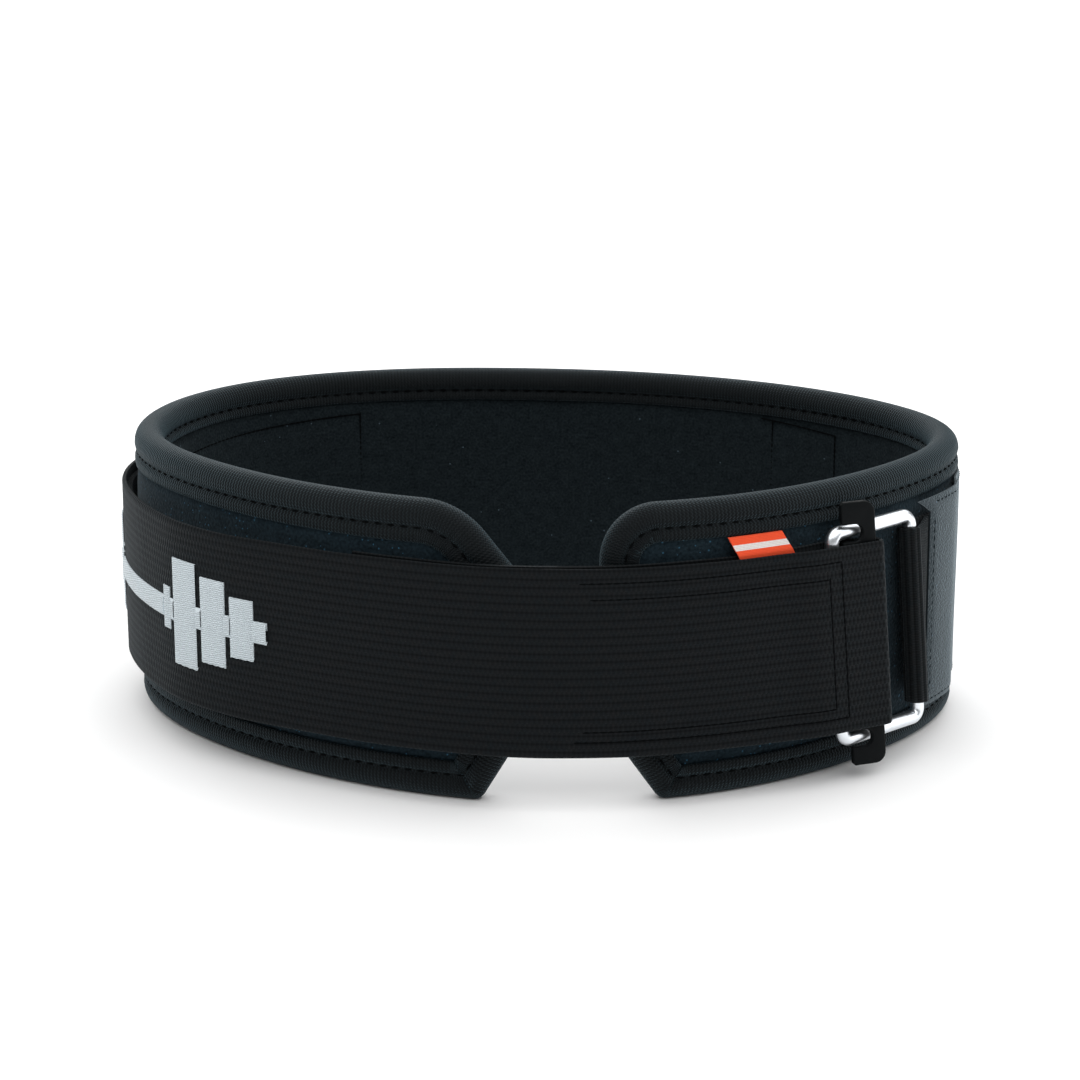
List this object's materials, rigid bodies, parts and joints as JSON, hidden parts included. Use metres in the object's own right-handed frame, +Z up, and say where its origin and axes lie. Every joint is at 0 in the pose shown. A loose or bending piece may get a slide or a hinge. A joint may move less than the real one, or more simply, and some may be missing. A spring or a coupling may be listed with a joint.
{
  "type": "weightlifting belt",
  "caption": "Padded fabric weightlifting belt, closed and standing on its edge, with a wide webbing strap through a wire ring and a flat black clamp bar",
  "frame": {"origin": "on the floor under the middle of the belt's bounding box", "axes": "+X to the viewer's right along the belt's width, +Y from the front to the back, +Z up; the strap crosses the gap at the front, towards -Y, and the buckle is at the front right"},
  "size_m": [0.3042, 0.2288, 0.102],
  "materials": {
    "loop_fabric": "dark navy brushed loop fabric with fine specks",
    "lining_fabric": "blue-black brushed lining with fine seams",
    "binding_tape": "black woven tape with a soft sheen and lockstitch",
    "strap_webbing": "warm black ribbed webbing",
    "hook_layer": "black hook layer",
    "bright_wire": "bright plated round wire",
    "black_bar": "satin black flat bar",
    "loop_webbing": "black ribbed webbing",
    "panel_fabric": "dark blue-black brushed fabric",
    "tag_weave": "orange-red woven tag",
    "emblem_thread": "white embroidery thread"
  },
  "bodies": {
    "root": {"padded_body": "loop_fabric", "inner_lining": "lining_fabric", "edge_binding": "binding_tape", "closing_strap": "strap_webbing", "hook_patch": "hook_layer", "buckle_ring": "bright_wire", "clamp_bar": "black_bar", "anchor_loop": "loop_webbing", "cover_panel": "panel_fabric", "side_label": "tag_weave", "strap_emblem": "emblem_thread"}
  },
  "joints": []
}
